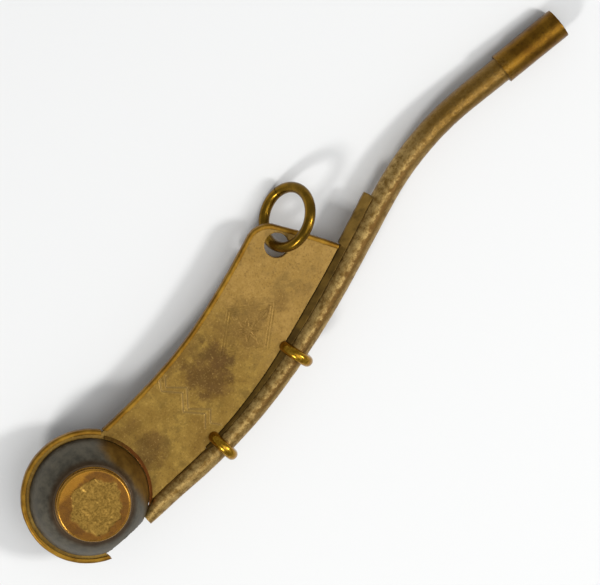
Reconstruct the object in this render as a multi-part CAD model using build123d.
from build123d import *
from math import acos, asin, atan2, cos, degrees, hypot, radians, sin
import os

# A boatswain's call of plated brass, modelled in millimetres.
# It is drawn lying flat: X runs from the buoy (the hollow chamber) to the mouthpiece,
# Y runs from the gun (the blowing tube) to the keel's free edge, and Z is square to the keel.
# The buoy's centre is the drawing's origin. At the end the whole call is laid on a table.

# ---- Driving dimensions ----

# Gun: a tapering tube, bent in one plane.
gun_tip_x = 4.1                 # where the nose starts, from the buoy's centre
gun_tip_inset = 0.7             # how far the gun's axis runs inside the buoy's radius at the nose
gun_tip_heading = -3.0          # degrees, measured from X
nose_run = 12.8                 # straight run from the nose
lower_bend_radius = 94.0
lower_bend_turn = 12.8          # degrees
middle_bend_radius = 160.0
middle_bend_turn = 7.8          # degrees
middle_run = 13.5
upper_bend_radius = 56.0
upper_bend_turn = -24.1         # degrees
mouth_run = 19.1
gun_radius_nose = 1.6           # outside radius behind the pinched nose
gun_radius_mouth = 2.38         # outside radius at the mouth end
gun_wall = 0.42
nose_length = 3.4               # length over which the nose is pinched
nose_radius = 1.08
nose_bore_radius = 0.68

# Mouthpiece sleeve
sleeve_length = 12.8
sleeve_wall = 0.32
sleeve_overhang = 1.3           # how far the sleeve runs past the gun's mouth end
sleeve_lip = 0.12               # rounding of the open end

# Keel: two sheets, back to back.
sheet = 0.5                     # thickness of one keel sheet
keel_depth_buoy = 16.35         # from the gun's axis to the free edge, beside the buoy
keel_depth_end = 17.85          # the same, at the top corner
keel_first_station = 4.0        # where the sheets' free edge starts, inside the round seat
keel_corner_station = 52.6      # distance along the gun at which the top corner starts
keel_corner_radius = 4.0
keel_corner_turn = 79.5         # degrees
keel_end_station = 58.9         # distance along the gun at which the end edge meets the cradle
keel_end_bow = 0.15             # how far the end edge bows outwards
hole_station = 54.0             # ring hole, by distance along the gun
hole_edge_distance = 5.05       # from the keel's free edge to the hole's centre
hole_radius = 2.15

# Folded edge strips
strip = 0.3                     # thickness of the folded strip
strip_leg = 0.85                # width of the strip over the sheets, fold and all
strip_round = 0.4               # rounding of its outer corners

# Buoy: two pressed cups on a round seat that is part of the keel sheets.
cup_radius = 10.45              # outside radius at the foot
cup_wall = 0.45
cup_foot = 0.4                  # height of the straight foot
cup_shoulder_radius = 6.95      # where the dome meets the button
cup_shoulder_height = 6.4       # above the keel's mid plane
cup_crown = 0.62                # how far the dome's curve stands out from a straight cone
button_radius = 6.5
button_height = 7.7             # above the keel's mid plane
button_round = 0.45
seat_rim = 1.1                  # seat beyond the cup's foot
seat_lip = 0.75                 # seat inside the cup's outer radius
window_radius = 4.4             # round sounding hole in the buoy
window_x = -0.6

# Cradle between keel and gun
cradle_start_station = 16.0
cradle_end_station = 69.2       # end of the tongue
cradle_gap_start = 0.2          # least metal between gun and keel edge, at the start
cradle_gap_full = 0.95          # the same, once the cradle has its full depth
cradle_full_station = 46.0
tongue_depth = 1.4              # metal of the tongue above the gun
cradle_angle = 30.0             # half angle of the gun that the cradle holds
cradle_lip = 0.22

# Collars
band_stations = {"upper_band": 38.8, "lower_band": 18.4}
band_width = 2.0
band_height = 1.45              # how far the collar stands out from the gun
band_flat = 0.1                 # flat left along its rounded crest

# Brazing fillet
fillet_leg = 0.7

# Ring
ring_radius = 5.3               # to the wire's centre
wire_radius = 0.94
ring_heading = 24.3             # degrees: the way the ring points from its hole
ring_slope = 55.4               # degrees: the wire's slope through the hole
ring_dip = 1.5                  # degrees: how far the ring's far side lies back
ring_shift = 0.16               # how far the wire lies off the hole's centre, away from the ring
ring_split = 0.14
ring_split_angle = 230.0        # place of the split round the ring, from the hole

# Named clearances
braze_gap = 0.05                # between curved faces that solder joins
sheet_gap = 0.02                # between a folded strip or a collar and the sheets it grips

tool_run = 4.0                  # how far the cutting shapes run past the metal
edge_run = 1.0                  # length of free edge that gives the corner its direction

half_keel = sheet
seat_radius = cup_radius + seat_rim
strip_half = half_keel + sheet_gap + strip
gun_start = (gun_tip_x, gun_tip_inset - cup_radius)

lower_bend_length = lower_bend_radius * radians(abs(lower_bend_turn))
middle_bend_length = middle_bend_radius * radians(abs(middle_bend_turn))
upper_bend_length = upper_bend_radius * radians(abs(upper_bend_turn))
gun_runs = [
    (nose_run, 0.0),
    (lower_bend_length, lower_bend_turn),
    (middle_bend_length, middle_bend_turn),
    (middle_run, 0.0),
    (upper_bend_length, upper_bend_turn),
    (mouth_run, 0.0),
]
gun_length = sum(length for length, turn in gun_runs)


# ---- The gun's axis ----

def axis_at(station):
    """Point and heading in degrees on the gun's axis, at a distance from the nose."""
    x, y = gun_start
    heading = gun_tip_heading
    left = station
    for index, (length, turn) in enumerate(gun_runs):
        last = index == len(gun_runs) - 1
        step = left if last else min(left, length)
        if turn == 0.0:
            x += step * cos(radians(heading))
            y += step * sin(radians(heading))
        else:
            part_turn = turn * step / length
            radius = length / radians(turn)
            x += radius * (sin(radians(heading + part_turn)) - sin(radians(heading)))
            y += radius * (cos(radians(heading)) - cos(radians(heading + part_turn)))
            heading += part_turn
        left -= step
        if left <= 0.0:
            break
    return x, y, heading


def beside_axis(station, offset):
    """Point at an offset from the gun's axis, towards the keel."""
    x, y, heading = axis_at(station)
    return (x - offset * sin(radians(heading)), y + offset * cos(radians(heading)))


def plane_at(station):
    """Plane square to the gun: its own X points to the keel, and its own Y along Z."""
    x, y, heading = axis_at(station)
    along = (cos(radians(heading)), sin(radians(heading)), 0)
    towards_keel = (-sin(radians(heading)), cos(radians(heading)), 0)
    return Plane(origin=(x, y, 0), x_dir=towards_keel, z_dir=along)


def stations(first, last, step):
    """Evenly spaced stations from first to last, about a step apart."""
    count = max(2, round((last - first) / step) + 1)
    return [first + (last - first) * index / (count - 1) for index in range(count)]


def gun_radius(station):
    """Outside radius of the gun's even taper, leaving out the pinched nose."""
    share = station / gun_length
    return gun_radius_nose + (gun_radius_mouth - gun_radius_nose) * share


def cradle_metal(station):
    """Metal between the gun and the keel's lower edge."""
    span = cradle_full_station - cradle_start_station
    share = min(1.0, max(0.0, (station - cradle_start_station) / span))
    return cradle_gap_start + (cradle_gap_full - cradle_gap_start) * share


def cradle_top(station):
    return gun_radius(station) + cradle_metal(station)


def tongue_top(station):
    return gun_radius(station) + tongue_depth


def keel_depth(station):
    share = station / keel_corner_station
    return keel_depth_buoy + (keel_depth_end - keel_depth_buoy) * share


# ---- Gun and sleeve ----

loft_step = 6.0


def gun_skin(extra, first, last):
    """The gun's tapering outside, grown by extra, as a solid."""
    rings = [plane_at(s) * Circle(gun_radius(s) + extra) for s in stations(first, last, loft_step)]
    return loft(rings)


def nose_cone(wide, narrow, drop):
    """Straight cone over the nose, whose small end is dropped away from the keel."""
    small = plane_at(0.0) * (Pos(-drop, 0) * Circle(narrow))
    large = plane_at(nose_length) * Circle(wide)
    return loft([small, large])


def make_gun():
    body = gun_skin(0.0, nose_length, gun_length)
    bore = gun_skin(-gun_wall, nose_length, gun_length)
    shoulder = gun_radius(nose_length)
    drop = shoulder - nose_radius
    body += nose_cone(shoulder, nose_radius, drop)
    bore += nose_cone(shoulder - gun_wall, nose_bore_radius, drop)
    return body - bore


def make_sleeve():
    inner = gun_radius_mouth + braze_gap
    outer = inner + sleeve_wall
    first = gun_length + sleeve_overhang - sleeve_length
    tube = extrude(Circle(outer) - Circle(inner), sleeve_length)
    open_end = tube.faces().sort_by(Axis.Z)[-1]
    tube = fillet(open_end.edges(), sleeve_lip)
    return plane_at(first).location * tube


# ---- Keel ----

def lower_edge_points():
    marks = stations(cradle_start_station, keel_end_station, loft_step)
    return [beside_axis(s, cradle_top(s) + braze_gap) for s in marks]


def keel_edges():
    """Free edge, corner and end edge of the keel sheets, from the buoy round to the gun."""
    marks = stations(keel_first_station, keel_corner_station, loft_step * 2)
    points = [beside_axis(s, keel_depth(s)) for s in marks]
    just_before = keel_corner_station - edge_run
    before = beside_axis(just_before, keel_depth(just_before))
    last = points[-1]
    tangent = (last[0] - before[0], last[1] - before[1])
    start_tangent = (cos(radians(gun_tip_heading)), sin(radians(gun_tip_heading)))
    free_edge = Spline(*points, tangents=[start_tangent, tangent])
    corner = JernArc(start=last, tangent=tangent, radius=keel_corner_radius, arc_size=-keel_corner_turn)
    top = corner @ 1
    bottom = lower_edge_points()[-1]
    run = (bottom[0] - top.X, bottom[1] - top.Y)
    size = hypot(*run)
    middle = (
        (top.X + bottom[0]) / 2 - run[1] / size * keel_end_bow,
        (top.Y + bottom[1]) / 2 + run[0] / size * keel_end_bow,
    )
    end_edge = ThreePointArc((top.X, top.Y), middle, bottom)
    return free_edge, corner, end_edge


def hole_centre():
    return beside_axis(hole_station, keel_depth(hole_station) - hole_edge_distance)


def window_tool():
    """Round sounding hole, cut straight in from the gun's side."""
    tool = Cylinder(window_radius, seat_radius + tool_run, align=(Align.CENTER, Align.CENTER, Align.MIN))
    return Location((window_x, 0, 0), (90, 0, 0)) * tool


def gun_tool():
    """Room for the gun, run on ahead of the nose."""
    lead = Cylinder(gun_radius_nose + braze_gap, tool_run, align=(Align.CENTER, Align.CENTER, Align.MAX))
    return gun_skin(braze_gap, 0.0, gun_length) + plane_at(0.0).location * lead


def make_keel_sheet(front):
    free_edge, corner, end_edge = keel_edges()
    lower = lower_edge_points()
    first_lower = lower[0]
    under_gun = beside_axis(cradle_start_station, 0.0)
    nose = beside_axis(0.0, 0.0)
    start = free_edge @ 0
    outline = Wire(
        [
            *free_edge.edges(),
            *corner.edges(),
            *end_edge.edges(),
            *Spline(*reversed(lower)).edges(),
            *Polyline(first_lower, under_gun, nose, (start.X, start.Y)).edges(),
        ]
    )
    shape = make_face(outline) + Circle(seat_radius)
    shape -= Circle(cup_radius - seat_lip)
    shape -= Pos(*hole_centre()) * Circle(hole_radius)
    plate = extrude(shape, sheet)
    if not front:
        plate = Pos(0, 0, -sheet) * plate
    return plate - window_tool() - gun_tool()


def strip_profile():
    """Folded strip in section: X outwards from the sheet's edge, Y through the sheets."""
    outside = Pos(strip - strip_leg / 2, 0) * Rectangle(strip_leg, 2 * strip_half)
    outside = fillet(outside.vertices().sort_by(Axis.X)[-2:], strip_round)
    slot = Pos(sheet_gap - strip_leg / 2, 0) * Rectangle(strip_leg, 2 * (half_keel + sheet_gap))
    return outside - slot


def make_keel_binding():
    free_edge, corner, end_edge = keel_edges()
    path = Wire([*free_edge.edges(), *corner.edges(), *end_edge.edges()])
    start = path @ 0
    along = path % 0
    outward = Vector(-along.Y, along.X, 0)
    section = Plane(origin=start, x_dir=outward, z_dir=along) * strip_profile()
    binding = sweep(section, path=path)
    clear_of_buoy = Cylinder(seat_radius + strip + braze_gap, 4 * strip_half)
    return binding - clear_of_buoy - gun_tool()


def rim_binding_start():
    """Angle from X at which the rim's strip meets the strip on the keel's free edge."""
    meeting = beside_axis(nose_run / 2, keel_depth(nose_run / 2) + strip)
    return degrees(asin(meeting[1] / (seat_radius + strip)))


def make_rim_binding():
    profile = Plane.XZ * (Pos(seat_radius, 0) * strip_profile())
    first = rim_binding_start()
    window_middle = 270.0 + degrees(asin(window_x / seat_radius))
    ring = revolve(profile, Axis.Z, revolution_arc=window_middle - first)
    return Rot(0, 0, first) * ring - window_tool()


# ---- Buoy ----

def make_cup(front):
    foot_top = half_keel + cup_foot
    lean = ((cup_radius + cup_shoulder_radius) / 2, (foot_top + cup_shoulder_height) / 2)
    run = (cup_shoulder_radius - cup_radius, cup_shoulder_height - foot_top)
    size = hypot(*run)
    out = (run[1] / size, -run[0] / size)
    crown = (lean[0] + out[0] * cup_crown, lean[1] + out[1] * cup_crown)
    inside = (crown[0] - out[0] * cup_wall, crown[1] - out[1] * cup_wall)
    inner_foot = cup_radius - cup_wall
    inner_shoulder = (cup_shoulder_radius - cup_wall * out[0], cup_shoulder_height - cup_wall * out[1])
    inner_button = button_radius - cup_wall
    outer_edges = [
        Line((inner_foot, half_keel), (cup_radius, half_keel)),
        Line((cup_radius, half_keel), (cup_radius, foot_top)),
        ThreePointArc((cup_radius, foot_top), crown, (cup_shoulder_radius, cup_shoulder_height)),
        Line((cup_shoulder_radius, cup_shoulder_height), (button_radius, cup_shoulder_height)),
        Line((button_radius, cup_shoulder_height), (button_radius, button_height)),
        Line((button_radius, button_height), (0, button_height)),
    ]
    inner_edges = [
        Line((0, button_height), (0, button_height - cup_wall)),
        Line((0, button_height - cup_wall), (inner_button, button_height - cup_wall)),
        Line((inner_button, button_height - cup_wall), (inner_button, inner_shoulder[1])),
        Line((inner_button, inner_shoulder[1]), inner_shoulder),
        ThreePointArc(inner_shoulder, inside, (inner_foot, foot_top)),
        Line((inner_foot, foot_top), (inner_foot, half_keel)),
    ]
    edges = [edge for curve in outer_edges + inner_edges for edge in curve.edges()]
    profile = Plane.XZ * make_face(Wire(edges))
    cup = revolve(profile, Axis.Z)
    rim = cup.edges().filter_by(GeomType.CIRCLE).group_by(Axis.Z)[-1]
    cup = fillet(rim, button_round)
    cup = cup - window_tool() - gun_tool()
    if not front:
        cup = cup.mirror(Plane.XY)
    return cup


def make_cup_braze(front):
    """Fillet of brazing metal along the foot of a cup, where it stands on the keel."""
    inner = cup_radius + sheet_gap
    corners = [(inner, half_keel), (inner + fillet_leg, half_keel), (inner, half_keel + fillet_leg)]
    profile = Plane.XZ * make_face(Polyline(*corners, close=True))
    first = -degrees(acos((window_x + window_radius) / cup_radius))
    last = rim_binding_start() - degrees(fillet_leg / seat_radius)
    seam = Rot(0, 0, first) * revolve(profile, Axis.Z, revolution_arc=last - first)
    seam = seam - gun_tool()
    if not front:
        seam = seam.mirror(Plane.XY)
    return seam


# ---- Cradle and collars ----

def cradle_section(station, top, extra):
    """Wedge between the keel's edge and the gun; extra grows it all round."""
    hold = gun_radius(station) + braze_gap
    side = radians(cradle_angle)
    lip_x = hold * cos(side)
    lip_y = hold * sin(side)
    half_top = half_keel + extra
    crest = top + extra
    wedge = [
        (crest, half_top),
        (lip_x, lip_y + cradle_lip + extra),
        (lip_x, lip_y),
    ]
    mirrored = [(px, -py) for px, py in reversed(wedge)]
    edges = [
        *Polyline(*wedge).edges(),
        *ThreePointArc((lip_x, lip_y), (hold, 0), (lip_x, -lip_y)).edges(),
        *Polyline(*mirrored).edges(),
        *Line((crest, -half_top), (crest, half_top)).edges(),
    ]
    return plane_at(station) * make_face(Wire(edges))


def cradle_run(extra):
    marks = stations(cradle_start_station, keel_end_station, loft_step)
    return loft([cradle_section(s, cradle_top(s), extra) for s in marks])


def make_cradle():
    tongue_start = keel_end_station + strip + braze_gap
    join_marks = stations(keel_end_station, tongue_start, loft_step)
    join = loft([cradle_section(s, cradle_top(keel_end_station), 0.0) for s in join_marks])
    tongue_marks = stations(tongue_start, cradle_end_station, loft_step / 2)
    tongue = loft([cradle_section(s, tongue_top(s), 0.0) for s in tongue_marks])
    return cradle_run(0.0) + join + tongue


def make_band(station):
    """Round-crested collar: it goes round the gun and the cradle and grips the keel's edge."""
    inner = gun_radius(station) + braze_gap
    outer = inner + band_height
    body = Pos(0, (inner + outer) / 2) * Rectangle(band_width, band_height)
    body = fillet(body.vertices().sort_by(Axis.Y)[-2:], (band_width - band_flat) / 2)
    ring = Rot(0, 90, 0) * revolve(body, Axis.X)
    gripped = 2 * (half_keel + sheet_gap)
    slot = Box(2 * band_width, outer + tool_run, gripped, align=(Align.CENTER, Align.MIN, Align.CENTER))
    x, y, heading = axis_at(station)
    slot = Location((x, y, 0), (0, 0, heading)) * slot
    return plane_at(station).location * ring - slot - cradle_run(braze_gap)


# ---- Ring ----

def ring_directions():
    """Unit vectors: from the hole across the ring, and up the wire at the hole."""
    heading = radians(ring_heading)
    dip = radians(ring_dip)
    slope = radians(ring_slope)
    across = Vector(cos(heading) * cos(dip), sin(heading) * cos(dip), -sin(dip))
    side = Vector(sin(heading), -cos(heading), 0)
    rise = side * cos(slope) + side.cross(across) * sin(slope)
    return across, rise


def make_ring():
    across, rise = ring_directions()
    centre = Vector(*hole_centre(), 0) + across * (ring_radius - ring_shift)
    frame = Plane(origin=centre, x_dir=-across, z_dir=rise.cross(across))
    split = degrees(ring_split / ring_radius)
    wire = Plane.XZ * (Pos(ring_radius, 0) * Circle(wire_radius))
    loop = revolve(wire, Axis.Z, revolution_arc=360 - split)
    loop = Rot(0, 0, ring_split_angle) * loop
    return frame.location * loop


# ---- Laying the call on a table ----

def rest_pitch():
    """Turn about Y that brings the back button's rim and the mouthpiece's rim to one level."""
    mouth_x, mouth_y, heading = axis_at(gun_length + sleeve_overhang)
    sleeve_radius = gun_radius_mouth + braze_gap + sleeve_wall
    drop = button_height - sleeve_radius
    return degrees(atan2(drop, mouth_x - (button_radius - button_round)))


def make_nodes():
    nodes = {
        "gun_tube": make_gun(),
        "mouthpiece_sleeve": make_sleeve(),
        "gun_saddle": make_cradle(),
        "keel_front_plate": make_keel_sheet(True),
        "keel_back_plate": make_keel_sheet(False),
        "keel_edge_binding": make_keel_binding(),
        "buoy_rim_binding": make_rim_binding(),
        "buoy_front_cup": make_cup(True),
        "buoy_back_cup": make_cup(False),
        "front_cup_braze": make_cup_braze(True),
        "back_cup_braze": make_cup_braze(False),
        "shackle_ring": make_ring(),
    }
    for name, station in band_stations.items():
        nodes[name] = make_band(station)
    return nodes


def placement(nodes):
    """Location that lays the call down, with the origin under its middle."""
    pitch = Location((0, 0, 0), (0, rest_pitch(), 0))
    boxes = [(pitch * shape).bounding_box() for shape in nodes.values()]
    low = [min(tuple(box.min)[i] for box in boxes) for i in range(3)]
    high = [max(tuple(box.max)[i] for box in boxes) for i in range(3)]
    shift = (-(low[0] + high[0]) / 2, -(low[1] + high[1]) / 2, -low[2])
    return Location(shift) * pitch


def main():
    nodes = make_nodes()
    lay_down = placement(nodes)
    os.makedirs("parts", exist_ok=True)
    for name, shape in nodes.items():
        export_step(lay_down * shape, f"parts/{name}.step")


if __name__ == "__main__":
    main()
